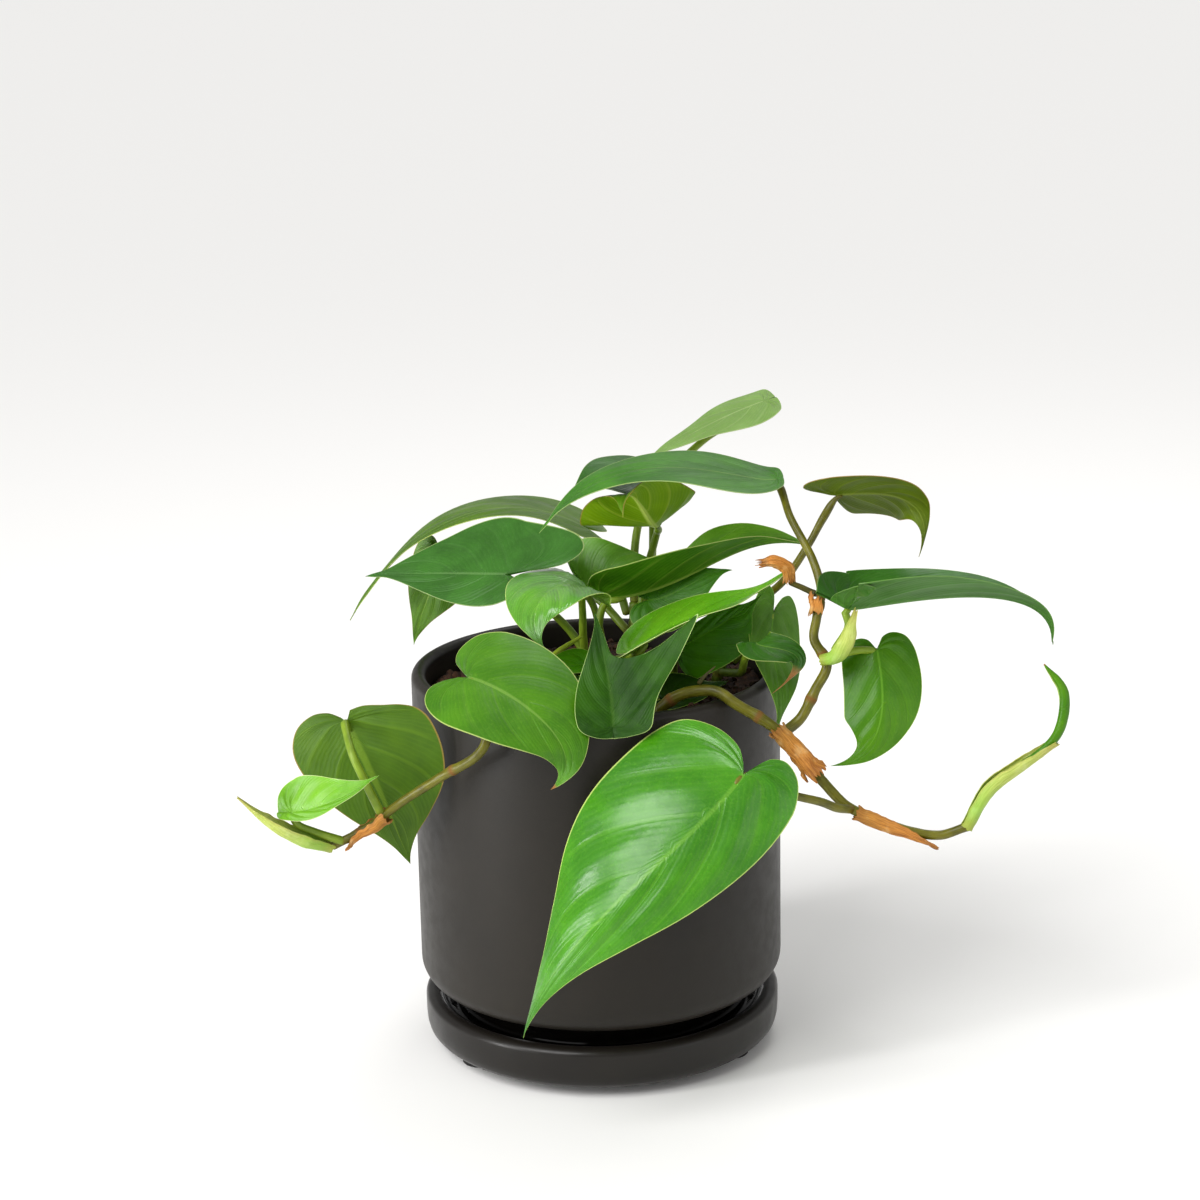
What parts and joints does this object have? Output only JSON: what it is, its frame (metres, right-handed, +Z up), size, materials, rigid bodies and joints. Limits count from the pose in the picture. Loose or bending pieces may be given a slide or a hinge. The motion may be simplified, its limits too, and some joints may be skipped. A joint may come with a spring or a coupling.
{
  "type": "potted houseplant",
  "caption": "Heartleaf philodendron with trailing vines in a round matte pot that stands in its own footed saucer.",
  "frame": {"origin": "centre of the saucer's flat underside, on the axis of the pot", "axes": "+Z up; -Y is the front, where the large bright leaf hangs over the pot; +X is to the right of a viewer in front, where the longest vine runs"},
  "size_m": [0.2701, 0.1689, 0.2196],
  "materials": {
    "pot": "matte",
    "saucer": "satin",
    "foot": "matte",
    "soil": "matte",
    "leaf": "satin",
    "bright_leaf": "gloss",
    "pale_leaf": "satin",
    "olive_leaf": "satin",
    "stem": "satin",
    "dry_sheath": "matte",
    "pale_sheath": "satin"
  },
  "bodies": {
    "root": {"pot": "pot", "saucer": "saucer", "saucer_foot_1": "foot", "saucer_foot_2": "foot", "saucer_foot_3": "foot", "soil": "soil", "vine_left": "stem", "vine_front": "stem", "vine_right": "stem", "vine_right_tip": "stem", "stem_centre": "stem", "stem_back": "stem", "stem_right": "stem", "shoot_young": "stem", "leaf_rolled_tip": "bright_leaf", "sheath_spike": "dry_sheath", "sheath_left_dry": "dry_sheath", "sheath_left_pale": "pale_sheath", "sheath_front_dry": "dry_sheath", "sheath_right_dry": "dry_sheath", "sheath_tip_pale": "pale_sheath", "sheath_right_pale": "pale_sheath", "sheath_knot_dry": "dry_sheath", "sheath_curled_dry": "dry_sheath", "leaf_front_hanging": "bright_leaf", "leaf_front_left": "leaf", "leaf_left_low": "olive_leaf", "leaf_left_young": "bright_leaf", "leaf_centre_glossy": "bright_leaf", "leaf_left_broad": "leaf", "leaf_left_arched": "olive_leaf", "leaf_left_back": "leaf", "leaf_top_pale": "pale_leaf", "leaf_top_long": "leaf", "leaf_top_back": "leaf", "leaf_middle_cup": "olive_leaf", "leaf_centre_long": "leaf", "leaf_centre_back": "leaf", "leaf_middle_shaded": "leaf", "leaf_right_low": "bright_leaf", "leaf_right_round": "olive_leaf", "leaf_front_upright": "leaf", "leaf_right_back": "leaf", "leaf_right_folded": "leaf", "leaf_right_heart": "bright_leaf", "leaf_right_top": "olive_leaf", "leaf_right_long": "leaf", "leaf_pot_shaded": "leaf", "leaf_pot_small": "leaf"}
  },
  "joints": []
}
